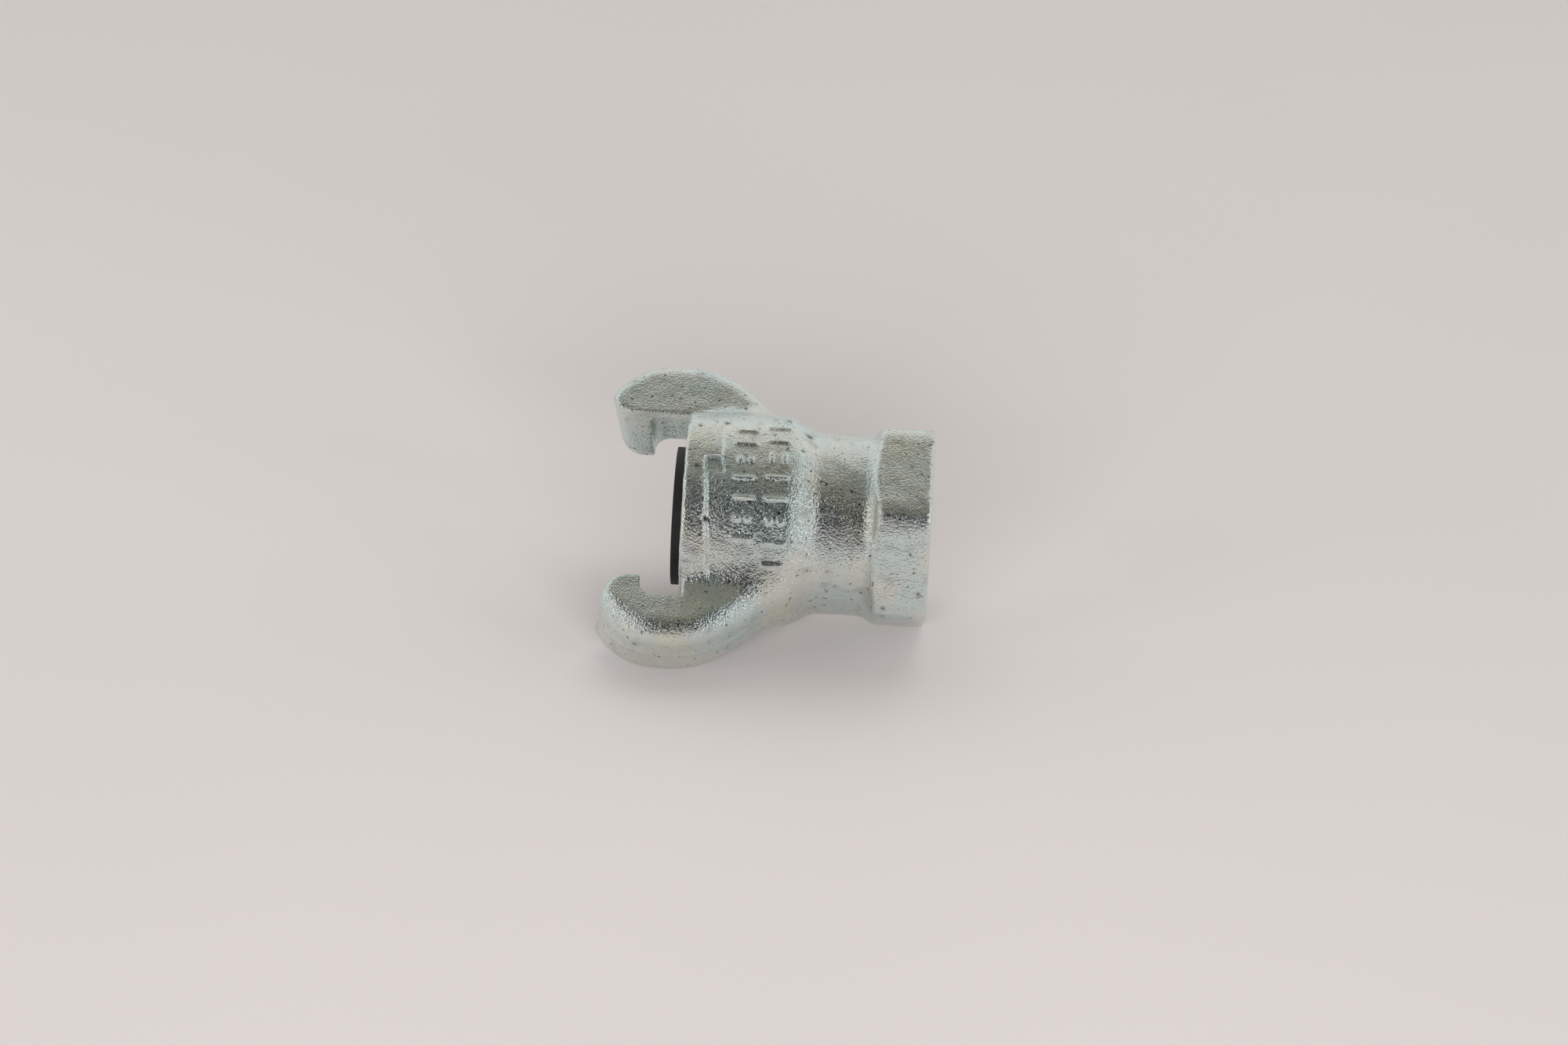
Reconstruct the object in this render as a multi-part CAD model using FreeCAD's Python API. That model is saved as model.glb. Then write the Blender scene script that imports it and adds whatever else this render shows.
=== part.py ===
import FreeCAD, Part
import math
import os

# One half of a two-lug claw coupling for air or water hose, with a female pipe thread.
# The bore runs along X, from the threaded mouth at the origin to the claws at -X.
# Lengths are in mm and angles in degrees. +Z is up as the part lies on a bench, on one claw.

# Stations along the bore
FACE_X = -50.8  # head face, where the two halves of a coupling meet
HEAD_LENGTH = 21.6  # cylindrical head, from the face to the shoulder
SHOULDER_LENGTH = 6.4
HEX_LENGTH = 11.3
FLARE_LENGTH = 2.2  # from the neck up to the hexagon

# Radii and widths across the bore
HEAD_RADIUS = 21.8
NECK_RADIUS = 18.7
HEX_ACROSS_FLATS = 39.6
HEX_CORNER_RADIUS = 4.0
EDGE_ROUND = 0.8

# Claws
CLAW_REACH = 16.1  # ahead of the head face
CLAW_OUTER_RADIUS = 34.3
CLAW_HALF_WIDTH = 7.9
CLAW_TIP_RADIUS = 22.1  # inside of the tip, just clear of the mating head
THROAT_RADIUS = 26.5  # inside of the claw, clear of the mating rim
THROAT_SHUT = 4.6  # the throat stops this far past mid width, at a wall that the mating rim runs up against
CLAW_GAP = 8.7  # from the head face to the claw, at mid width
CLAW_LEAN = 0.12  # hook face and nose come nearer the head towards the side that locks
CLAW_EDGE_ROUND = 2.4
CLAW_ANGLES = (118.5, 298.5)  # turned about +X from +Z

# Cam rims that the mating claws grip, and the stop past each rim's entry end
RIM_RADIUS = 22.5
RIM_START = 21.6  # angles from the claw's middle, towards the side that locks
RIM_END = 87.6
RIM_THICK = 6.0  # at the locking end
RIM_THIN = 4.4  # at the entry end
STOP_END = 114.6  # the stop runs on from the rim to this angle
STOP_THICK = 7.7  # so a mating claw passes only when the gaskets are pressed

# Thread, waterway and gasket seat
THREAD_RADIUS = 15.2
THREAD_LENGTH = 20.0
WATERWAY_RADIUS = 12.0
MOUTH_RADIUS = 14.6
MOUTH_DEPTH = 1.9
SEAT_RADIUS = 16.8
SEAT_DEPTH = 5.6

# Gasket
GASKET_PROUD = 2.2
GASKET_NOSE_RADIUS = 14.45
GASKET_FLANGE_RADIUS = 16.65
GASKET_BORE_RADIUS = 10.5
GASKET_CLEARANCE = 0.1

X_AXIS = FreeCAD.Vector(1, 0, 0)
ORIGIN = FreeCAD.Vector(0, 0, 0)


def at(x, radius):
    """A point in the plane of a claw that stands along +Z."""
    return FreeCAD.Vector(x, 0, radius)


def revolved(points, start=0.0, sweep=360.0):
    """A solid turned about the bore from a closed outline of (x, radius) points."""
    outline = Part.makePolygon([at(*p) for p in points] + [at(*points[0])])
    solid = Part.Face(outline).revolve(ORIGIN, X_AXIS, sweep)
    solid.rotate(ORIGIN, X_AXIS, start)
    return solid


def turned(shape, angle):
    """A copy of a shape turned about the bore."""
    copy = shape.copy()
    copy.rotate(ORIGIN, X_AXIS, angle)
    return copy


def turned_body():
    """Head, shoulder, neck and the flare up to the hexagon, as one turned form."""
    shoulder_x = FACE_X + HEAD_LENGTH
    neck_x = shoulder_x + SHOULDER_LENGTH
    hex_x = -HEX_LENGTH
    return revolved(
        [
            (FACE_X, 0),
            (FACE_X, HEAD_RADIUS - EDGE_ROUND),
            (FACE_X + EDGE_ROUND, HEAD_RADIUS),
            (shoulder_x, HEAD_RADIUS),
            (shoulder_x + 0.3 * SHOULDER_LENGTH, HEAD_RADIUS - 0.2 * (HEAD_RADIUS - NECK_RADIUS)),
            (neck_x - 0.3 * SHOULDER_LENGTH, NECK_RADIUS + 0.2 * (HEAD_RADIUS - NECK_RADIUS)),
            (neck_x, NECK_RADIUS),
            (hex_x - FLARE_LENGTH, NECK_RADIUS),
            (hex_x, HEX_ACROSS_FLATS / 2),
            (hex_x / 2, HEX_ACROSS_FLATS / 2),
            (hex_x / 2, 0),
        ]
    )


def hexagon():
    """The wrench hexagon, with rounded corners and softened end edges."""
    corner = HEX_ACROSS_FLATS / math.sqrt(3)
    points = []
    for n in range(7):
        angle = math.radians(60 * n)
        points.append(FreeCAD.Vector(-HEX_LENGTH, corner * math.sin(angle), corner * math.cos(angle)))
    prism = Part.Face(Part.makePolygon(points)).extrude(FreeCAD.Vector(HEX_LENGTH, 0, 0))
    corners = []
    for edge in prism.Edges:
        if abs(edge.tangentAt(edge.FirstParameter).x) > 0.99:
            corners.append(edge)
    prism = prism.makeFillet(HEX_CORNER_RADIUS, corners)
    ends = []
    for edge in prism.Edges:
        if edge.BoundBox.XLength < 0.01:
            ends.append(edge)
    return prism.makeFillet(EDGE_ROUND, ends)


def claw_outline(y):
    """The side view of one claw at y: chin, nose, crown and the slope to the head, closed inside the head."""
    tip_x = FACE_X - CLAW_REACH + CLAW_LEAN * y
    front_x = FACE_X - CLAW_GAP + 1.2 + CLAW_LEAN * y
    root_x = FACE_X + 20.5
    root_radius = HEAD_RADIUS - 5.0
    skin = Part.BSplineCurve()
    skin.interpolate(
        [
            at(front_x, CLAW_TIP_RADIUS - 2.9),
            at(tip_x + 2.6, CLAW_TIP_RADIUS - 0.7),
            at(tip_x, CLAW_TIP_RADIUS + 3.4),
            at(tip_x + 3.0, CLAW_OUTER_RADIUS - 3.4),
            at(tip_x + 8.5, CLAW_OUTER_RADIUS - 0.6),
            at(FACE_X - 1.5, CLAW_OUTER_RADIUS),
            at(FACE_X + 6.5, CLAW_OUTER_RADIUS - 1.8),
            at(FACE_X + 13.5, CLAW_OUTER_RADIUS - 6.3),
            at(root_x, HEAD_RADIUS - 0.5),
        ]
    )
    front_root = at(front_x, root_radius)
    back_root = at(root_x, root_radius)
    wire = Part.Wire(
        [
            Part.LineSegment(front_root, skin.StartPoint).toShape(),
            skin.toShape(),
            Part.LineSegment(skin.EndPoint, back_root).toShape(),
            Part.LineSegment(back_root, front_root).toShape(),
        ]
    )
    wire.translate(FreeCAD.Vector(0, y, 0))
    return wire


def claw():
    """One hooked claw standing along +Z, open towards the bore."""
    solid = Part.makeLoft([claw_outline(-CLAW_HALF_WIDTH), claw_outline(CLAW_HALF_WIDTH)], True, True)
    skin_edges = []
    for edge in solid.Edges:
        if edge.BoundBox.YLength < 0.01 and edge.Length > 2 * CLAW_REACH:
            if edge.BoundBox.ZMax > CLAW_OUTER_RADIUS - 1:
                skin_edges.append(edge)
    solid = solid.makeFillet(CLAW_EDGE_ROUND, skin_edges)
    # the mating rim sweeps this pocket as the halves turn, and stops at its shut side
    pocket = revolved([(FACE_X, 0), (FACE_X, THROAT_RADIUS), (FACE_X - 30, THROAT_RADIUS), (FACE_X - 30, 0)])
    side = CLAW_HALF_WIDTH + 2
    front = []
    for x, y in (
        (FACE_X + 1, -THROAT_SHUT),
        (FACE_X - CLAW_GAP - CLAW_LEAN * THROAT_SHUT, -THROAT_SHUT),
        (FACE_X - CLAW_GAP + CLAW_LEAN * side, side),
        (FACE_X + 1, side),
    ):
        front.append(FreeCAD.Vector(x, y, 0))
    wedge = Part.Face(Part.makePolygon(front + [front[0]])).extrude(FreeCAD.Vector(0, 0, 40))
    way_in = revolved(
        [(FACE_X, 0), (FACE_X, CLAW_TIP_RADIUS), (FACE_X - 30, CLAW_TIP_RADIUS), (FACE_X - 30, 0)]
    )
    return solid.cut(pocket.common(wedge)).cut(way_in)


def band(thickness, start, end):
    """A raised band round the head from its face, between two angles from the middle of a claw along +Z."""
    inner_radius = HEAD_RADIUS - 4.0
    return revolved(
        [
            (FACE_X, inner_radius),
            (FACE_X, RIM_RADIUS - EDGE_ROUND),
            (FACE_X + EDGE_ROUND, RIM_RADIUS),
            (FACE_X + thickness, RIM_RADIUS),
            (FACE_X + thickness, inner_radius),
        ],
        -end,
        end - start,
    )


def rim():
    """One cam rim and its stop. The rim's back slopes so that turning draws the two halves together."""
    # the back face, cut by a plane that leans about the radius at the rim's middle
    half_span = RIM_RADIUS * math.sin(math.radians((RIM_END - RIM_START) / 2))
    cutter = Part.makeBox(20, 80, 60, FreeCAD.Vector(0, -40, 0))
    lean = math.degrees(math.atan2(RIM_THICK - RIM_THIN, 2 * half_span))
    cutter.rotate(ORIGIN, FreeCAD.Vector(0, 0, 1), lean)
    cutter.translate(FreeCAD.Vector(FACE_X + (RIM_THICK + RIM_THIN) / 2, 0, 0))
    cutter.rotate(ORIGIN, X_AXIS, -(RIM_START + RIM_END) / 2)
    cam = band(RIM_THICK + 1.0, RIM_START, RIM_END).cut(cutter)
    return cam.fuse(band(STOP_THICK, RIM_END, STOP_END))


def machining():
    """What is bored out of the casting: thread, waterway, and the gasket's seat with its undercut."""
    mouth_x = FACE_X + MOUTH_DEPTH
    seat_x = FACE_X + SEAT_DEPTH
    return revolved(
        [
            (1, 0),
            (1, THREAD_RADIUS),
            (-THREAD_LENGTH, THREAD_RADIUS),
            (-THREAD_LENGTH - 1.8, WATERWAY_RADIUS),
            (seat_x, WATERWAY_RADIUS),
            (seat_x, SEAT_RADIUS),
            (mouth_x, SEAT_RADIUS),
            (mouth_x, MOUTH_RADIUS),
            (FACE_X - 1, MOUTH_RADIUS),
            (FACE_X - 1, 0),
        ]
    )


def coupling_body():
    """The one-piece casting, machined at both ends."""
    shape = turned_body().fuse(turned(hexagon(), CLAW_ANGLES[0]))
    for angle in CLAW_ANGLES:
        shape = shape.fuse(turned(claw(), angle))
        shape = shape.fuse(turned(rim(), angle))
    return shape.cut(machining()).removeSplitter()


def gasket():
    """The rubber sealing washer: a nose that stands proud of the face, and a flange behind the undercut."""
    back_x = FACE_X + SEAT_DEPTH - GASKET_CLEARANCE
    flange_x = FACE_X + MOUTH_DEPTH + GASKET_CLEARANCE
    front_x = FACE_X - GASKET_PROUD
    return revolved(
        [
            (back_x, GASKET_BORE_RADIUS),
            (back_x, GASKET_FLANGE_RADIUS),
            (flange_x, GASKET_FLANGE_RADIUS),
            (flange_x, GASKET_NOSE_RADIUS),
            (front_x, GASKET_NOSE_RADIUS),
            (front_x, GASKET_BORE_RADIUS),
        ]
    )


os.makedirs("parts", exist_ok=True)
for name, shape in (("coupling_body", coupling_body()), ("gasket", gasket())):
    box = shape.BoundBox
    print(name, "valid", shape.isValid(), "solids", len(shape.Solids), "volume", round(shape.Volume, 1))
    print("  box", [round(v, 2) for v in (box.XMin, box.XMax, box.YMin, box.YMax, box.ZMin, box.ZMax)])
    shape.exportStep("parts/" + name + ".step")
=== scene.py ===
import math

import bpy
import numpy as np
import openvdb
from mathutils import Matrix, Vector


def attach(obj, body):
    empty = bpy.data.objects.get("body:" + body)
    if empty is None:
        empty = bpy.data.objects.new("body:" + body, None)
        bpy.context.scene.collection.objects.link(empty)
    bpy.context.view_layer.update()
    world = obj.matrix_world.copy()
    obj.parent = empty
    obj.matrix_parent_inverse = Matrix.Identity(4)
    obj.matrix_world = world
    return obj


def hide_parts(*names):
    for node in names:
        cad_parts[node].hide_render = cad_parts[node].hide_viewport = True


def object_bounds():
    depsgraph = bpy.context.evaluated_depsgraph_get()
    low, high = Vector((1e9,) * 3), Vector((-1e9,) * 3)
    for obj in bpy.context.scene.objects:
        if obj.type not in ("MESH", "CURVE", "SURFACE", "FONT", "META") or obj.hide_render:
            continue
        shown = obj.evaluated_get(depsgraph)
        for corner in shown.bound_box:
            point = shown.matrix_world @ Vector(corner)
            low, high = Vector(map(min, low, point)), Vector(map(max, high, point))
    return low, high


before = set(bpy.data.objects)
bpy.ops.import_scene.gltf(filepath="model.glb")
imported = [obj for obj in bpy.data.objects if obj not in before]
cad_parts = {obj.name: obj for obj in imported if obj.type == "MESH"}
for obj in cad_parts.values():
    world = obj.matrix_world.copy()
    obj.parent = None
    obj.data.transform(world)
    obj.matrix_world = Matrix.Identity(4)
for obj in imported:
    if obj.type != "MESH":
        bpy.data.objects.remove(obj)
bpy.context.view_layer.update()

# ---------------------------------------------------------------------------------------------------
# The coupling body: one half of a two-lug claw coupling, cast in malleable iron in a sand mould that
# parts through both claws, then bored, tapped and zinc plated. The bore runs along X, claws at -X.
# Its skin is a distance field in mm, in the claws' own frame, with one claw along +Z.
# ---------------------------------------------------------------------------------------------------

VOXEL = 0.43
FACE_X = -50.8
SHOULDER_X = -29.2
NECK_X = -22.8
HEX_X = -11.3
FLARE_LENGTH = 2.2
HEAD_RADIUS = 21.8
NECK_RADIUS = 18.7
HEX_ACROSS_FLATS = 39.6
HEX_CORNER_RADIUS = 1.4
HEX_TURNED_RADIUS = 22.0
HEX_TURNED_ROUND = 1.0
HEX_NECK_ROUND = 0.9
HEX_MOUTH_ROUND = 1.0
HEX_CHAMFER = 1.3
HEX_CHAMFER_ROUND = 0.8
CLAW_ANGLE = math.radians(118.5)
CLAW_LEAN = 0.12
CLAW_HALF_WIDTH = 7.9

rng = np.random.default_rng(7)
stations = np.arange(-174, 5) * VOXEL
across = np.arange(-60, 61) * VOXEL
along_claw = np.arange(-90, 91) * VOXEL
grid_x = stations[:, None, None]
grid_y = across[None, :, None]
grid_z = along_claw[None, None, :]
radius = np.hypot(grid_y, grid_z)
turn = np.degrees(np.arctan2(grid_y, grid_z))
half_turn = np.mod(turn, 180.0)


def rounded_meet(a, b, size):
    """What lies in both shapes, with the edge between them rounded."""
    over = np.hypot(np.maximum(a + size, 0), np.maximum(b + size, 0))
    return np.minimum(np.maximum(a, b), -size) + over


def rounded_join(a, b, size):
    """What lies in either shape, with a fillet of that size between them."""
    under = np.hypot(np.maximum(size - a, 0), np.maximum(size - b, 0))
    return np.maximum(np.minimum(a, b), size) - under


def turned_skin():
    """Head, shoulder, neck and flare, from the radius along the bore."""
    step = 0.05
    softening = 0.5
    margin = 40
    fine_x = np.arange(-80.0, 10.0, step)
    outline = np.interp(
        fine_x,
        [SHOULDER_X - 0.2, SHOULDER_X + 1.6, NECK_X - 1.5, NECK_X, HEX_X - FLARE_LENGTH, HEX_X],
        [HEAD_RADIUS, HEAD_RADIUS - 0.7, NECK_RADIUS + 0.5, NECK_RADIUS, NECK_RADIUS, HEX_ACROSS_FLATS / 2],
    )
    soften = np.exp(-0.5 * (np.arange(-2.0, 2.0, step) / softening) ** 2)
    padded = np.pad(outline, margin, mode="edge")
    outline = np.convolve(padded, soften / soften.sum(), "same")[margin:-margin]
    slope = np.gradient(outline, step)
    at_station = np.interp(stations, fine_x, outline)[:, None, None]
    lean = np.interp(stations, fine_x, 1 / np.hypot(1, slope))[:, None, None]
    return rounded_meet((radius - at_station) * lean, grid_x - HEX_X - 0.4, 0.1)


def hexagon_skin():
    """The wrench hexagon, in line with the claws, with its corners turned down and chamfered."""
    inner = HEX_ACROSS_FLATS / 2 - HEX_CORNER_RADIUS
    u, v = np.abs(grid_z) + 0 * grid_y, np.abs(grid_y) + 0 * grid_z
    cos30, sin30 = math.cos(math.radians(30)), 0.5
    fold = 2 * np.minimum(-cos30 * u + sin30 * v, 0)
    u, v = u + cos30 * fold, v - sin30 * fold
    half_side = inner * math.tan(math.radians(30))
    u, v = u - np.clip(u, -half_side, half_side), v - inner
    flat = np.hypot(u, v) * np.sign(v) - HEX_CORNER_RADIUS
    flat = rounded_meet(flat, radius - HEX_TURNED_RADIUS, HEX_TURNED_ROUND)
    prism = rounded_meet(rounded_meet(flat, HEX_X - grid_x, HEX_NECK_ROUND), grid_x, HEX_MOUTH_ROUND)
    chamfer = (radius - HEX_ACROSS_FLATS / 2 - HEX_CHAMFER - (grid_x - HEX_X)) * math.sqrt(0.5)
    return rounded_meet(prism, chamfer, HEX_CHAMFER_ROUND)


def smooth_outline(points, steps=10):
    """A natural cubic spline through the points, spaced by chord length."""
    points = np.array(points, float)
    knots = np.concatenate([[0], np.cumsum(np.hypot(*np.diff(points, axis=0).T))])
    gap = np.diff(knots)
    count = len(points)
    matrix = np.eye(count)
    right = np.zeros((count, 2))
    for n in range(1, count - 1):
        matrix[n, n - 1:n + 2] = gap[n - 1], 2 * (gap[n - 1] + gap[n]), gap[n]
        right[n] = 6 * ((points[n + 1] - points[n]) / gap[n] - (points[n] - points[n - 1]) / gap[n - 1])
    bend = np.linalg.solve(matrix, right)
    rows = []
    for n in range(count - 1):
        for t in np.linspace(0, 1, steps, endpoint=False):
            a, b = 1 - t, t
            curve = (a ** 3 - a) * bend[n] + (b ** 3 - b) * bend[n + 1]
            rows.append(a * points[n] + b * points[n + 1] + curve * gap[n] ** 2 / 6)
    return rows + [points[-1]]


def outline_distance(outline, xs, zs):
    """Distance to a closed outline over a flat grid, less than nothing inside it."""
    start = np.array(outline)
    end = np.roll(start, -1, axis=0)
    px, pz = np.meshgrid(xs, zs, indexing="ij")
    nearest = np.full(px.shape, 1e9)
    inside = np.zeros(px.shape, bool)
    for (ax, az), (bx, bz) in zip(start, end):
        ex, ez = bx - ax, bz - az
        t = np.clip(((px - ax) * ex + (pz - az) * ez) / (ex * ex + ez * ez), 0, 1)
        nearest = np.minimum(nearest, np.hypot(px - ax - t * ex, pz - az - t * ez))
        if ez != 0:
            inside ^= ((az > pz) != (bz > pz)) & (px < (pz - az) / ez * ex + ax)
    return np.where(inside, -nearest, nearest)


CLAW_TIP_RADIUS = 22.1
CLAW_OUTER_RADIUS = 35.2
CLAW_TIP_X = FACE_X - 16.1
THROAT_RADIUS = 26.5
THROAT_SHUT = 4.6
THROAT_CORNER = 2.8
THROAT_SHUT_CORNER = 3.2
THROAT_EDGE = 0.5
THROAT_PAST_FACE = 0.8
CLAW_GAP = 8.7
CHIN_EDGE = 1.0


def claw_skin():
    """One hooked claw along +Z: nose, crown and the slope down to the head, less the throat."""
    front_x = FACE_X - CLAW_GAP + 1.2
    root_x = FACE_X + 20.5
    skin = smooth_outline(
        [
            (front_x, CLAW_TIP_RADIUS - 2.9),
            (CLAW_TIP_X + 2.2, CLAW_TIP_RADIUS - 0.6),
            (CLAW_TIP_X, CLAW_TIP_RADIUS + 3.2),
            (CLAW_TIP_X + 3.3, CLAW_OUTER_RADIUS - 3.7),
            (CLAW_TIP_X + 8.7, CLAW_OUTER_RADIUS - 0.7),
            (FACE_X - 1.5, CLAW_OUTER_RADIUS),
            (FACE_X + 6.5, CLAW_OUTER_RADIUS - 1.8),
            (FACE_X + 13.5, CLAW_OUTER_RADIUS - 6.5),
            (root_x, HEAD_RADIUS - 0.7),
        ]
    )
    outline = skin + [(root_x, 14.0), (front_x, 14.0)]
    step = 0.2
    flat_x = np.arange(-75.0, 5.0, step)
    table = outline_distance(outline, flat_x, along_claw)
    shape = np.empty((len(stations), len(across), len(along_claw)))
    for n, y in enumerate(across):
        ahead = np.clip((FACE_X - 1.5 - stations) / 6.0, 0, 1)
        place = (stations - CLAW_LEAN * y * ahead - flat_x[0]) / step
        low = place.astype(int)
        part = (place - low)[:, None]
        shape[:, n, :] = table[low] * (1 - part) + table[low + 1] * part
    rise = np.maximum(np.clip((grid_z - 22.5) / 7.0, 0, 1), np.clip((grid_x - FACE_X) / 5.0, 0, 1))
    crown = np.interp(stations, [FACE_X + 8.0, FACE_X + 18.0], [4.7, 6.0])[:, None, None]
    edge = CHIN_EDGE + (crown - CHIN_EDGE) * rise * rise * (3 - 2 * rise)
    shape = rounded_meet(shape, np.abs(grid_y) - CLAW_HALF_WIDTH, edge)
    hook_x = FACE_X - CLAW_GAP + CLAW_LEAN * grid_y
    throat = rounded_meet(hook_x - grid_x, -THROAT_SHUT - grid_y, THROAT_SHUT_CORNER)
    throat = rounded_meet(radius - THROAT_RADIUS, throat, THROAT_CORNER)
    throat = np.maximum(throat, grid_x - FACE_X - THROAT_PAST_FACE)
    shape = rounded_meet(shape, -throat, THROAT_EDGE)
    way_in = np.maximum(radius - CLAW_TIP_RADIUS, grid_x - FACE_X - THROAT_PAST_FACE)
    return rounded_meet(shape, -way_in, THROAT_EDGE)


RIM_RADIUS = 22.5
RIM_START, RIM_END, STOP_END = 21.6, 88.4, 114.6
RIM_THICK, RIM_THIN, STOP_THICK = 6.0, 4.4, 7.7


def around(start, end):
    """Distance outside the sector between two angles, measured round the head."""
    middle, half = (start + end) / 2, (end - start) / 2
    return (np.abs(half_turn - middle) - half) * math.radians(1) * HEAD_RADIUS


def rim_skin():
    """Both cam rims, thicker towards the end that locks, and the stop past each one's entry end."""
    back = np.interp(half_turn, [RIM_START, RIM_END], [RIM_THICK, RIM_THIN])
    cam = rounded_meet(radius - RIM_RADIUS, grid_x - FACE_X - back, 1.0)
    cam = rounded_meet(cam, around(RIM_START - 3, RIM_END + 2), 0.8)
    stop = rounded_meet(radius - RIM_RADIUS, grid_x - FACE_X - STOP_THICK, 0.6)
    stop = rounded_meet(stop, around(RIM_END, STOP_END), 0.5)
    return cam, stop


ROOT_DEPTH = 0.4
ROOT_FADE = 2.5


def rim_root():
    """The hollow along the foot of each rim, left by the mould, that fades into the head."""
    back = np.interp(half_turn, [RIM_START, RIM_END], [RIM_THICK, RIM_THIN])
    behind = grid_x - FACE_X - back
    sector = np.clip(-around(RIM_START - 8, RIM_END) / 1.5, 0, 1)
    faded = ROOT_DEPTH * np.exp(-np.maximum(behind - ROOT_DEPTH, 0) / ROOT_FADE)
    return sector * np.where(behind < ROOT_DEPTH, ROOT_DEPTH, faded)


MARK_WIDTH = 0.40
MARK_HEIGHT = 0.50
MARK_FLANK = 0.5
BAR_HALF_LENGTH = 1.9
DASH_HALF_LENGTH = 0.9
DASH_OFFSET = 1.3
DOT_OFFSET = 1.1
DOT_EXTRA = 0.3


def raised_marks():
    """Plain foundry marks on the head: well-spaced bars, dashes and dots in two rows, with no meaning."""
    height = np.zeros((len(stations), len(across), len(along_claw)))
    rows = (
        (-38.4, 44.0, 110.0, "bar dot bar bar dot bar bar"),
        (-31.8, 30.0, 126.0, "bar bar dot bar bar dash bar bar dot"),
    )
    for middle, start, end, marks in rows:
        kinds = marks.split()
        for kind, angle in zip(kinds, np.linspace(start, end, len(kinds))):
            along = grid_x - middle
            side = (turn - angle) * math.radians(1) * HEAD_RADIUS
            if kind == "bar":
                gap = np.hypot(np.maximum(np.abs(along) - BAR_HALF_LENGTH, 0), side)
            elif kind == "dash":
                gap = np.hypot(np.abs(along) - DASH_OFFSET, np.maximum(np.abs(side) - DASH_HALF_LENGTH, 0))
            else:
                gap = np.hypot(np.abs(along) - DOT_OFFSET, side) - DOT_EXTRA
            rise = np.clip(0.5 - (gap - MARK_WIDTH) / MARK_FLANK, 0, 1)
            height = np.maximum(height, rise * rise * (3 - 2 * rise))
    return MARK_HEIGHT * height


def waviness(length, size):
    """Uneven skin from the sand mould, as smooth random swells of one length."""
    shape = (len(stations), len(across), len(along_claw))
    spectrum = np.fft.rfftn(rng.standard_normal(shape))
    total = 0
    for axis, n in enumerate(shape):
        wave = np.fft.rfftfreq(n, VOXEL) if axis == 2 else np.fft.fftfreq(n, VOXEL)
        total = total + wave.reshape([-1 if a == axis else 1 for a in range(3)]) ** 2
    swells = np.fft.irfftn(spectrum * np.exp(-total * (length / 1.6) ** 2), s=shape, axes=(0, 1, 2))
    return size * swells / swells.std()


# Blowholes and dents in the skin: station, angle from the claw, width and depth
PITS = (
    (-25.9, 117.6, 1.1, 0.5),
    (-27.0, 99.3, 0.6, 0.3),
    (-42.8, 118.6, 0.9, 0.3),
    (-48.2, 110.9, 0.7, 0.3),
    (-46.0, 53.6, 0.7, 0.8),
    (-8.9, 4.0, 0.7, 0.3),
    (-8.9, -2.0, 0.6, 0.3),
    (-1.8, 14.0, 0.6, 0.3),
    (-14.0, 150.0, 0.8, 0.4),
    (-33.0, -60.0, 0.9, 0.4),
    (-21.0, -120.0, 0.7, 0.3),
    (-38.5, -100.0, 0.8, 0.3),
)


NOTCH_START, NOTCH_END = 80.3, 89.0
NOTCH_FROM_FACE = 6.2
NOTCH_HALF_WIDTH = 1.7
NOTCH_DEPTH = 0.7
SEAM_HEIGHT = 0.16
SEAM_WIDTH = 0.45
DEEPEST = -3.0


def casting_field():
    """The whole skin of the casting, before machining."""
    cam, stop = rim_skin()
    field = rounded_join(turned_skin(), hexagon_skin(), 1.2)
    field = field + rim_root()
    field = rounded_join(field, cam, 0.5)
    field = rounded_join(field, stop, 0.4)
    across_notch = np.abs(grid_x - FACE_X - NOTCH_FROM_FACE) - NOTCH_HALF_WIDTH
    notch = rounded_meet(around(NOTCH_START, NOTCH_END), across_notch, 0.3)
    notch = rounded_meet(notch, HEAD_RADIUS - NOTCH_DEPTH - radius, 0.2)
    field = rounded_meet(field, -notch, 0.25)
    field = field - raised_marks()
    field = rounded_meet(field, FACE_X - grid_x, 0.8)
    claw = claw_skin()
    fillet = np.interp(stations, [FACE_X, FACE_X + 5.0, FACE_X + 18.0], [0.6, 2.6, 5.0])[:, None, None]
    for one in (claw, claw[:, ::-1, ::-1]):
        field = rounded_join(field, one, fillet)
    seam = SEAM_HEIGHT * np.exp(-(grid_y / SEAM_WIDTH) ** 2)
    field = field - seam + waviness(7.0, 0.035) + waviness(1.5, 0.012)
    for station, angle, width, depth in PITS:
        side = (turn - angle) * math.radians(1) * np.maximum(radius, 10)
        field = field + depth * np.exp(-((grid_x - station) ** 2 + side ** 2) / (0.5 * width ** 2))
    return np.maximum(field, DEEPEST)


def new_piece(name, points, faces):
    """A mesh object from points in mm and faces. A corner named twice makes a triangle of the face."""
    points = np.asarray(points, float)
    faces = np.asarray(faces)
    a, b, c = points[faces[:, 0]], points[faces[:, 1]], points[faces[:, 2]]
    if np.einsum("ij,ij->i", a, np.cross(b, c)).sum() < 0:
        faces = faces[:, ::-1]
    mesh = bpy.data.meshes.new(name)
    corners = [list(dict.fromkeys(face)) for face in faces.tolist()]
    mesh.from_pydata((points / 1000).tolist(), [], corners)
    mesh.validate()
    piece = bpy.data.objects.new(name, mesh)
    bpy.context.scene.collection.objects.link(piece)
    return piece


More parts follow.
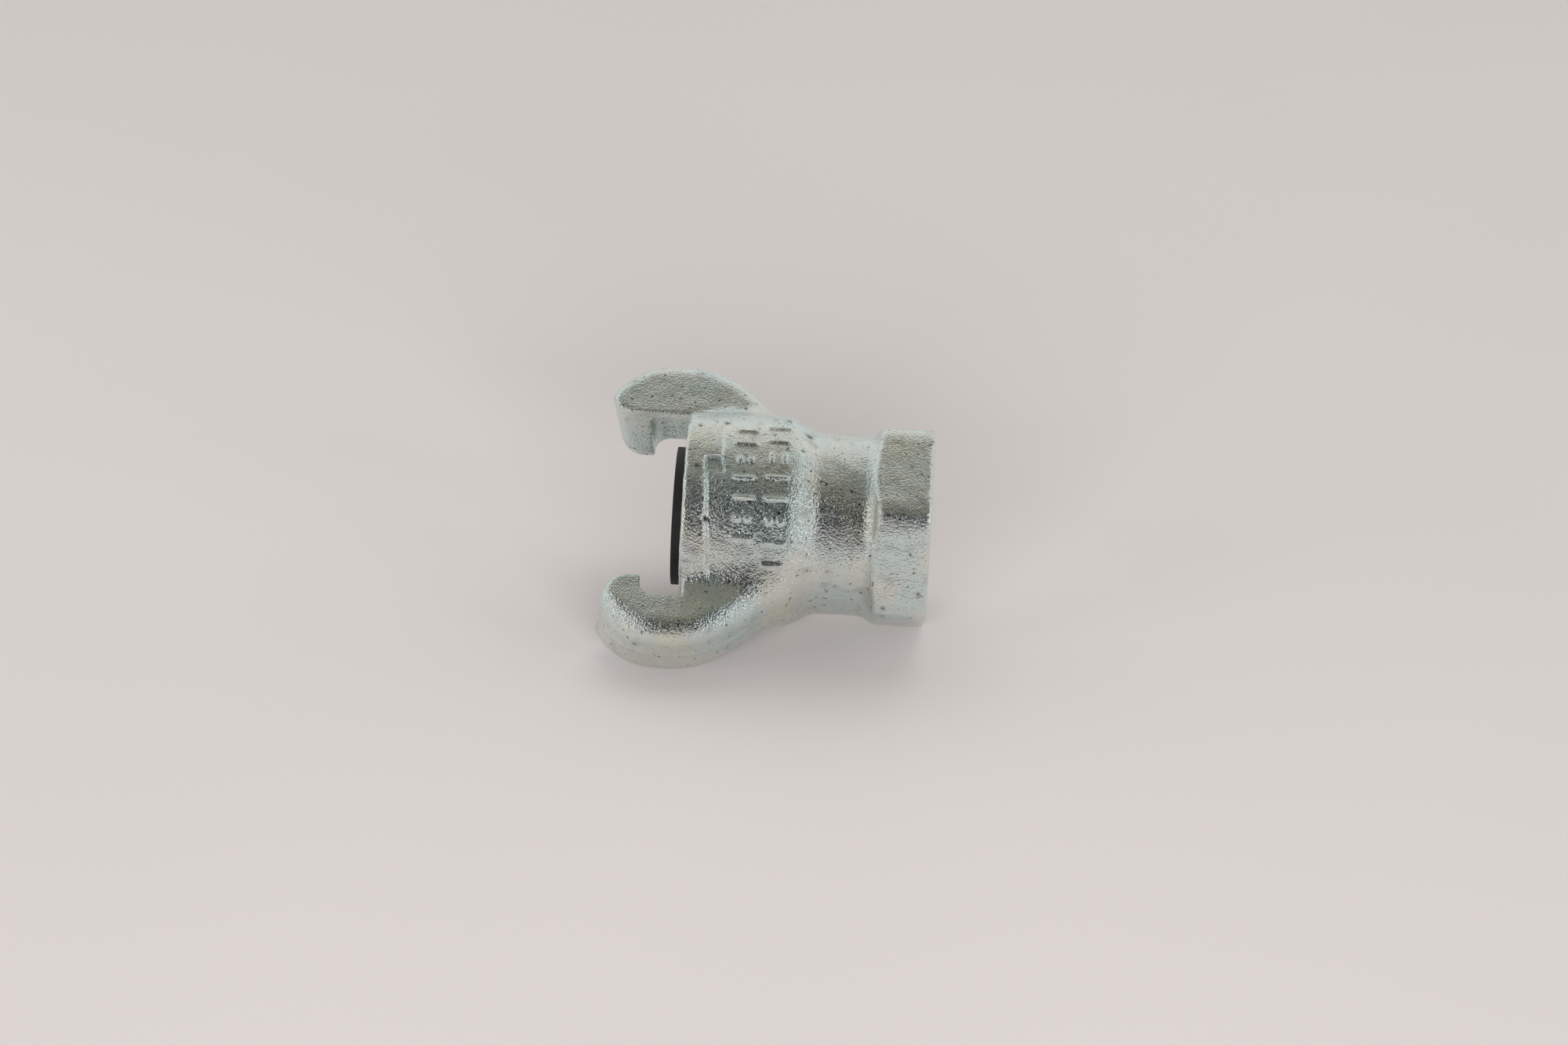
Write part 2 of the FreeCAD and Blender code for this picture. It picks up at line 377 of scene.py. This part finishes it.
def cast_body():
    """Meshes the field and turns it from the claws' frame to the way the part lies."""
    grid = openvdb.FloatGrid(3.0)
    grid.copyFromArray(casting_field().astype(np.float32))
    points, faces = grid.convertToQuads(isovalue=0.0)
    local = points * VOXEL + [stations[0], across[0], along_claw[0]]
    y = local[:, 1] * math.cos(CLAW_ANGLE) - local[:, 2] * math.sin(CLAW_ANGLE)
    z = local[:, 1] * math.sin(CLAW_ANGLE) + local[:, 2] * math.cos(CLAW_ANGLE)
    return new_piece("claw_coupling_body", np.stack([local[:, 0], y, z], axis=1), faces)


body = cast_body()

# Machined in the casting: the gasket's seat with an undercut, the waterway, and the tapered thread
THREAD_RADIUS = 15.2
THREAD_PITCH = 2.209
THREAD_DEPTH = 1.55
THREAD_LENGTH = 20.0
WATERWAY_RADIUS = 12.0
MOUTH_RADIUS = 14.6
SEAT_RADIUS = 16.8
FACE_DEPTH = 0.4
BORE_RADIUS = THREAD_RADIUS - 0.1


def turned_mesh(outline, sides, to_axis=False):
    """Points and faces of an (x, radius) outline turned about the bore: a ring, or closed to the axis."""
    count = len(outline)
    points = []
    faces = []
    for n in range(sides):
        angle = 2 * math.pi * n / sides
        for x, r in outline:
            points.append((x, r * math.cos(angle), r * math.sin(angle)))
        ahead = (n + 1) % sides
        for k in range(count - 1 if to_axis else count):
            after = (k + 1) % count
            faces.append((n * count + k, ahead * count + k, ahead * count + after, n * count + after))
    if to_axis:
        first, last = len(points), len(points) + 1
        points += [(outline[0][0], 0.0, 0.0), (outline[-1][0], 0.0, 0.0)]
        for n in range(sides):
            here, ahead = n * count, (n + 1) % sides * count
            faces.append((first, ahead, here, here))
            faces.append((last, here + count - 1, ahead + count - 1, ahead + count - 1))
    return points, faces


def bore_tool():
    """Everything turned out of the casting, and its end faced flat."""
    mouth_x = FACE_X + 1.9
    seat_x = FACE_X + 5.6
    return turned_mesh(
        [
            (3.0, 30.0),
            (0.0, 30.0),
            (0.0, THREAD_RADIUS + 1.8),
            (-1.8, BORE_RADIUS),
            (-THREAD_LENGTH, BORE_RADIUS),
            (-THREAD_LENGTH - 1.8, WATERWAY_RADIUS),
            (seat_x, WATERWAY_RADIUS),
            (seat_x, SEAT_RADIUS),
            (mouth_x, SEAT_RADIUS),
            (mouth_x, MOUTH_RADIUS),
            (FACE_X + FACE_DEPTH, MOUTH_RADIUS),
            (FACE_X - FACE_DEPTH, MOUTH_RADIUS + 2 * FACE_DEPTH),
        ],
        160,
        to_axis=True,
    )


def tap_tool():
    """The tap's path, a helical ridge on a core, that gets shallower towards its inner end."""
    sides = 96
    turns = 10
    ridge = ((0.06, 0.0), (0.44, 1.0), (0.56, 1.0), (0.94, 0.0))
    points = []
    for share, up in ridge:
        for k in range(sides * (turns + 1) + 1):
            angle = 2 * math.pi * k / sides
            x = THREAD_PITCH * (2.0 - share - k / sides)
            fade = min(1.0, max(0.0, (x + THREAD_LENGTH - 1.5) / 5.0))
            r = BORE_RADIUS - 0.05 + up * fade * (THREAD_DEPTH + min(x, 0) / 32)
            points.append((x, r * math.cos(angle), r * math.sin(angle)))
    row = sides * (turns + 1) + 1
    last = sides * turns
    faces = []
    for k in range(last):
        for j in range(3):
            faces.append((j * row + k, j * row + k + 1, (j + 1) * row + k + 1, (j + 1) * row + k))
        faces.append((3 * row + k, 3 * row + k + 1, k + 1 + sides, k + sides))
    for k, end_x in ((0, 2 * THREAD_PITCH + 1), (last, THREAD_PITCH * (2.0 - turns) - 3)):
        loop = list(range(k, k + sides + 1)) + [3 * row + k, 2 * row + k, row + k]
        points.append((end_x, 0.0, 0.0))
        for one, after in zip(loop, loop[1:] + loop[:1]):
            corners = (len(points) - 1, after, one) if k == 0 else (len(points) - 1, one, after)
            faces.append(corners + corners[2:])
    return points, faces


def cut_away(piece, points, faces):
    """Takes the tool's shape out of the piece."""
    tool = new_piece("tool", points, faces)
    cut = piece.modifiers.new("cut", "BOOLEAN")
    cut.operation = "DIFFERENCE"
    cut.solver = "MANIFOLD"
    cut.object = tool
    graph = bpy.context.evaluated_depsgraph_get()
    mesh = bpy.data.meshes.new_from_object(piece.evaluated_get(graph))
    piece.modifiers.clear()
    piece.data = mesh
    bpy.data.objects.remove(tool)


cut_away(body, *bore_tool())
cut_away(body, *tap_tool())
body.data.shade_smooth()
body.data.set_sharp_from_angle(angle=math.radians(38))


def link(tree, source, target):
    """Joins an output socket to an input socket."""
    tree.links.new(source, target)


def node(tree, kind, **settings):
    """A shader node with its settings: attributes in small letters, input sockets in capitals."""
    made = tree.nodes.new(kind)
    for key, value in settings.items():
        if key.isupper():
            made.inputs[key.replace("_", " ").title()].default_value = value
        else:
            setattr(made, key, value)
    return made


def ramp(tree, source, stops):
    """A colour ramp fed by a value, with stops of (position, grey or colour)."""
    made = tree.nodes.new("ShaderNodeValToRGB")
    while len(made.color_ramp.elements) < len(stops):
        made.color_ramp.elements.new(0.5)
    for element, (place, tone) in zip(made.color_ramp.elements, stops):
        element.position = place
        element.color = (tone, tone, tone, 1) if isinstance(tone, (int, float)) else (*tone, 1)
    link(tree, source, made.inputs["Fac"])
    return made.outputs["Color"]


def mixed(tree, amount, first, second):
    """A colour between two, by an amount from a socket."""
    made = tree.nodes.new("ShaderNodeMix")
    made.data_type = "RGBA"
    link(tree, amount, made.inputs["Factor"])
    for name, value in (("A", first), ("B", second)):
        socket = [s for s in made.inputs if s.name == name and s.type == "RGBA"][0]
        if isinstance(value, tuple):
            socket.default_value = (*value, 1)
        else:
            link(tree, value, socket)
    return [s for s in made.outputs if s.type == "RGBA"][0]


def new_material(name):
    """An empty material: its node tree, its surface shader and the piece's own coordinates."""
    material = bpy.data.materials.new(name)
    material.use_nodes = True
    tree = material.node_tree
    place = tree.nodes.new("ShaderNodeTexCoord").outputs["Object"]
    return material, tree, tree.nodes["Principled BSDF"], place


ZINC = (0.75, 0.80, 0.765)
ZINC_BLUE = (0.69, 0.80, 0.785)
ZINC_YELLOW = (0.78, 0.80, 0.715)
ZINC_DULL = (0.45, 0.45, 0.41)
# Near black, used both for the real stains and for the painted shade that darkens the pits.
STAIN_AND_PIT_SHADE = (0.10, 0.095, 0.075)


def cast_zinc():
    """Zinc plate over sand-cast skin: bright, finely pebbled, tinted by its passivation, pits darkened by
    painted shade.
    """
    material, tree, shader, place = new_material("zinc_on_casting")
    shader.inputs["Metallic"].default_value = 1.0
    swell = node(tree, "ShaderNodeTexNoise", SCALE=90.0, DETAIL=3.0)
    patch = node(tree, "ShaderNodeTexNoise", SCALE=260.0, DETAIL=4.0)
    pebble = node(tree, "ShaderNodeTexNoise", SCALE=2600.0, DETAIL=2.0)
    grain = node(tree, "ShaderNodeTexVoronoi", SCALE=1700.0)
    speck = node(tree, "ShaderNodeTexNoise", SCALE=850.0, DETAIL=5.0)
    for texture in (swell, patch, pebble, grain, speck):
        link(tree, place, texture.inputs["Vector"])
    tint = ramp(tree, swell.outputs["Fac"], [(0.38, ZINC_BLUE), (0.52, ZINC), (0.66, ZINC_YELLOW)])
    dull = ramp(tree, patch.outputs["Fac"], [(0.56, 0.0), (0.74, 0.55)])
    colour = mixed(tree, dull, tint, ZINC_DULL)
    stained = ramp(tree, speck.outputs["Fac"], [(0.64, 0.0), (0.71, 0.85)])
    colour = mixed(tree, stained, colour, STAIN_AND_PIT_SHADE)
    # Painted shade: the pits are darkened towards near black, standing in for the shade that falls in these
    # hollows.
    pit_painted_shade = node(tree, "ShaderNodeAttribute", attribute_name="pit_painted_shade")
    colour = mixed(tree, pit_painted_shade.outputs["Fac"], colour, STAIN_AND_PIT_SHADE)
    link(tree, colour, shader.inputs["Base Color"])
    gloss = ramp(tree, patch.outputs["Fac"], [(0.35, 0.10), (0.70, 0.20)])
    link(tree, gloss, shader.inputs["Roughness"])
    coarse = node(tree, "ShaderNodeBump", STRENGTH=1.0, DISTANCE=0.00021)
    link(tree, pebble.outputs["Fac"], coarse.inputs["Height"])
    fine = node(tree, "ShaderNodeBump", STRENGTH=0.6, DISTANCE=0.00008)
    link(tree, grain.outputs["Distance"], fine.inputs["Height"])
    link(tree, coarse.outputs["Normal"], fine.inputs["Normal"])
    link(tree, fine.outputs["Normal"], shader.inputs["Normal"])
    return material


def turned_zinc():
    """Zinc plate over turned and tapped metal: smoother, with fine rings left by the tool."""
    material, tree, shader, place = new_material("zinc_on_machined")
    shader.inputs["Metallic"].default_value = 1.0
    rings = node(tree, "ShaderNodeTexWave", SCALE=900.0, DISTORTION=0.6, DETAIL=2.0, bands_direction="X")
    patch = node(tree, "ShaderNodeTexNoise", SCALE=180.0, DETAIL=4.0)
    for texture in (rings, patch):
        link(tree, place, texture.inputs["Vector"])
    tint = ramp(tree, patch.outputs["Fac"], [(0.35, ZINC_BLUE), (0.52, ZINC), (0.72, ZINC_DULL)])
    link(tree, tint, shader.inputs["Base Color"])
    gloss = ramp(tree, patch.outputs["Fac"], [(0.35, 0.22), (0.70, 0.38)])
    link(tree, gloss, shader.inputs["Roughness"])
    score = node(tree, "ShaderNodeBump", STRENGTH=0.3, DISTANCE=0.00004)
    link(tree, rings.outputs["Fac"], score.inputs["Height"])
    link(tree, score.outputs["Normal"], shader.inputs["Normal"])
    return material


def finish_body():
    """Gives each face its finish, by where the tools have been, and marks the pits for their painted shade.
    """
    mesh = body.data
    mesh.materials.clear()
    mesh.materials.append(cast_zinc())
    mesh.materials.append(turned_zinc())
    centres = np.empty(len(mesh.polygons) * 3, np.float32)
    mesh.polygons.foreach_get("center", centres)
    centres = centres.reshape(-1, 3) * 1000
    out = np.hypot(centres[:, 1], centres[:, 2])
    machined = (out < SEAT_RADIUS + 0.6) | (centres[:, 0] > -0.05)
    mesh.polygons.foreach_set("material_index", machined.astype(np.int32))
    corners = np.empty(len(mesh.vertices) * 3, np.float32)
    mesh.vertices.foreach_get("co", corners)
    corners = corners.reshape(-1, 3) * 1000
    out = np.hypot(corners[:, 1], corners[:, 2])
    angles = math.degrees(CLAW_ANGLE) - np.degrees(np.arctan2(-corners[:, 1], corners[:, 2]))
    # Painted shade: how deep each point lies in the pits, used to darken these hollows where shade falls.
    dark = np.zeros(len(corners))
    for station, angle, width, depth in PITS:
        side = np.radians(np.mod(angles - angle + 180, 360) - 180) * out
        reach = ((corners[:, 0] - station) ** 2 + side ** 2) / (0.35 * width ** 2)
        dark = np.maximum(dark, np.exp(-reach))
    layer = mesh.attributes.new("pit_painted_shade", "FLOAT", "POINT")
    layer.data.foreach_set("value", dark.astype(np.float32))


finish_body()
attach(body, "coupling_body")
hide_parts("coupling_body")

# ---------------------------------------------------------------------------------------------------
# The gasket: a moulded black rubber washer. Its flange snaps behind the undercut of the seat, and its
# nose stands proud of the face, where the nose of the other half's gasket presses on it.
# ---------------------------------------------------------------------------------------------------

GASKET_FRONT_X = FACE_X - 2.2
GASKET_BACK_X = FACE_X + 5.5
GASKET_FLANGE_X = FACE_X + 2.0
GASKET_BORE_RADIUS = 10.5
GASKET_NOSE_RADIUS = 14.45
GASKET_FLANGE_RADIUS = 16.65
FLASH = 0.12


def softened(corners, steps=4):
    """A closed outline of (x, radius, rounding) corners with each corner rounded."""
    outline = []
    count = len(corners)
    for n in range(count):
        before = Vector(corners[n - 1][:2])
        here = Vector(corners[n][:2])
        after = Vector(corners[(n + 1) % count][:2])
        size = corners[n][2]
        start = here + (before - here).normalized() * size
        end = here + (after - here).normalized() * size
        for k in range(steps + 1):
            t = k / steps
            outline.append(tuple((1 - t) ** 2 * start + 2 * t * (1 - t) * here + t * t * end))
    return outline


def gasket_mesh():
    """The washer's section, with its two sealing lips, a mould line and a dished front."""
    middle = (GASKET_FRONT_X + GASKET_FLANGE_X) / 2
    return turned_mesh(
        softened(
            [
                (GASKET_BACK_X, GASKET_BORE_RADIUS, 0.3),
                (GASKET_BACK_X, GASKET_FLANGE_RADIUS, 0.35),
                (GASKET_FLANGE_X, GASKET_FLANGE_RADIUS, 0.35),
                (GASKET_FLANGE_X, GASKET_NOSE_RADIUS - 0.2, 0.15),
                (middle + 0.35, GASKET_NOSE_RADIUS - FLASH, 0.15),
                (middle + 0.08, GASKET_NOSE_RADIUS, 0.05),
                (middle - 0.08, GASKET_NOSE_RADIUS, 0.05),
                (middle - 0.35, GASKET_NOSE_RADIUS - FLASH, 0.15),
                (GASKET_FRONT_X, GASKET_NOSE_RADIUS - FLASH, 0.12),
                (GASKET_FRONT_X, GASKET_NOSE_RADIUS - 1.1, 0.3),
                (GASKET_FRONT_X + 0.35, GASKET_NOSE_RADIUS - 1.9, 0.25),
                (GASKET_FRONT_X + 0.05, GASKET_BORE_RADIUS + 0.9, 0.25),
                (GASKET_FRONT_X + 0.3, GASKET_BORE_RADIUS, 0.35),
            ]
        ),
        192,
    )


def black_rubber():
    """Moulded rubber: near black, matt, with a faint bloom, and grey where it is rubbed."""
    material, tree, shader, place = new_material("black_rubber")
    bloom = node(tree, "ShaderNodeTexNoise", SCALE=220.0, DETAIL=5.0)
    grain = node(tree, "ShaderNodeTexNoise", SCALE=2600.0, DETAIL=3.0)
    for texture in (bloom, grain):
        link(tree, place, texture.inputs["Vector"])
    stops = [(0.35, (0.008, 0.008, 0.008)), (0.60, (0.014, 0.014, 0.014)), (0.78, (0.04, 0.039, 0.037))]
    link(tree, ramp(tree, bloom.outputs["Fac"], stops), shader.inputs["Base Color"])
    link(tree, ramp(tree, bloom.outputs["Fac"], [(0.3, 0.48), (0.7, 0.68)]), shader.inputs["Roughness"])
    bump = node(tree, "ShaderNodeBump", STRENGTH=0.25, DISTANCE=0.00006)
    link(tree, grain.outputs["Fac"], bump.inputs["Height"])
    link(tree, bump.outputs["Normal"], shader.inputs["Normal"])
    return material


gasket = new_piece("rubber_gasket", *gasket_mesh())
gasket.data.shade_smooth()
gasket.data.set_sharp_from_angle(angle=math.radians(50))
gasket.data.materials.append(black_rubber())
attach(gasket, "gasket")
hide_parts("gasket")

# ---------------------------------------------------------------------------------------------------
# The studio: a pale table under soft light, bright behind the part and dim over the camera.
# ---------------------------------------------------------------------------------------------------

FLOOR_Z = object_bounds()[0][2]
FLOOR_RADIUS = 4.0


def pale_floor():
    """A round table top, a little mottled, level with the lowest point of the part."""
    sides = 96
    points = [(0.0, 0.0, FLOOR_Z * 1000)]
    for n in range(sides):
        angle = 2 * math.pi * n / sides
        reach = FLOOR_RADIUS * 1000
        points.append((reach * math.cos(angle), reach * math.sin(angle), FLOOR_Z * 1000))
    faces = [(0, n + 1, (n + 1) % sides + 1) for n in range(sides)]
    floor = bpy.data.meshes.new("floor")
    floor.from_pydata((np.array(points) / 1000).tolist(), [], faces)
    top = bpy.data.objects.new("floor", floor)
    bpy.context.scene.collection.objects.link(top)
    material, tree, shader, place = new_material("pale_table")
    mottle = node(tree, "ShaderNodeTexNoise", SCALE=3.0, DETAIL=3.0)
    link(tree, place, mottle.inputs["Vector"])
    stops = [(0.3, (0.735, 0.690, 0.680)), (0.7, (0.775, 0.725, 0.715))]
    link(tree, ramp(tree, mottle.outputs["Fac"], stops), shader.inputs["Base Color"])
    link(tree, ramp(tree, mottle.outputs["Fac"], [(0.3, 0.62), (0.7, 0.72)]), shader.inputs["Roughness"])
    shader.inputs["Specular IOR Level"].default_value = 0.15
    top.data.materials.append(material)
    return top


pale_floor()


WALL = (0.72, 0.715, 0.70)
CEILING = (0.235, 0.222, 0.188)
DARK_SIDE = (0.046, 0.048, 0.056)


def studio_world():
    """Walls of the studio: bright behind and beside the part, dull overhead, dark in front."""
    world = bpy.data.worlds.new("studio")
    bpy.context.scene.world = world
    world.use_nodes = True
    tree = world.node_tree
    sky = tree.nodes["Background"]
    way = node(tree, "ShaderNodeSeparateXYZ")
    link(tree, tree.nodes.new("ShaderNodeTexCoord").outputs["Generated"], way.inputs["Vector"])
    high = node(tree, "ShaderNodeMath", operation="MULTIPLY_ADD")
    link(tree, way.outputs["Y"], high.inputs[0])
    high.inputs[1].default_value = -0.45
    link(tree, way.outputs["Z"], high.inputs[2])
    walls = ramp(tree, high.outputs[0], [(0.0, WALL), (0.52, WALL), (0.78, CEILING)])
    aside = node(tree, "ShaderNodeMath", operation="ABSOLUTE")
    link(tree, way.outputs["X"], aside.inputs[0])
    front = node(tree, "ShaderNodeMath", operation="MULTIPLY_ADD")
    link(tree, aside.outputs[0], front.inputs[0])
    front.inputs[1].default_value = -0.4
    link(tree, way.outputs["Y"], front.inputs[2])
    ahead = node(tree, "ShaderNodeMapRange", interpolation_type="SMOOTHSTEP")
    ahead.inputs["From Min"].default_value = -0.70
    ahead.inputs["From Max"].default_value = -0.46
    link(tree, front.outputs[0], ahead.inputs["Value"])
    link(tree, mixed(tree, ahead.outputs["Result"], DARK_SIDE, walls), sky.inputs["Color"])
    sky.inputs["Strength"].default_value = 1.08


studio_world()


def softbox(name, place, target, size, power):
    """A rectangular soft light that faces the target. Places in metres."""
    light = bpy.data.lights.new(name, "AREA")
    light.shape = "RECTANGLE"
    light.size, light.size_y = size
    light.energy = power
    lamp = bpy.data.objects.new(name, light)
    lamp.location = place
    lamp.rotation_euler = (Vector(target) - Vector(place)).to_track_quat("-Z", "Y").to_euler()
    bpy.context.scene.collection.objects.link(lamp)
    return lamp


for side in (-1, 1):
    softbox("front_softbox", (side * 1.35, -0.95, 0.62), (-0.03, 0, 0), (0.5, 0.5), 3.0)
overhead = softbox("overhead_softbox", (0.0, 1.4, 2.2), (-0.03, 0.5, 0), (2.4, 2.4), 15.0)
overhead.visible_glossy = False
front_fill = softbox("front_fill", (0.0, -2.6, 0.75), (-0.03, 0, 0), (2.6, 0.8), 85.0)
front_fill.visible_glossy = False

# ---------------------------------------------------------------------------------------------------
# The camera: a long lens looking down at the part from in front, turned a little on its own axis.
# ---------------------------------------------------------------------------------------------------

CAMERA_HEIGHT_ANGLE = math.radians(25.76)
CAMERA_SIDE_ANGLE = math.radians(1.1)
CAMERA_ROLL = math.radians(2.72)
CAMERA_DISTANCE = 0.905
AIM = Vector((-0.03026, 0.0, -0.0002))


def studio_camera():
    """Sets the camera by its angles round the aim point."""
    data = bpy.data.cameras.new("camera")
    data.lens = 100
    data.sensor_width = 36
    camera = bpy.data.objects.new("camera", data)
    side, high = CAMERA_SIDE_ANGLE, CAMERA_HEIGHT_ANGLE
    back = Vector((math.sin(side) * math.cos(high), -math.cos(side) * math.cos(high), math.sin(high)))
    right = Vector((math.cos(side), math.sin(side), 0))
    up = back.cross(right)
    tilted_right = right * math.cos(CAMERA_ROLL) + up * math.sin(CAMERA_ROLL)
    tilted_up = up * math.cos(CAMERA_ROLL) - right * math.sin(CAMERA_ROLL)
    turn_to = Matrix((tilted_right, tilted_up, back)).transposed().to_4x4()
    camera.matrix_world = Matrix.Translation(AIM + back * CAMERA_DISTANCE) @ turn_to
    bpy.context.scene.collection.objects.link(camera)
    bpy.context.scene.camera = camera


studio_camera()
bpy.context.scene.view_settings.view_transform = "Standard"
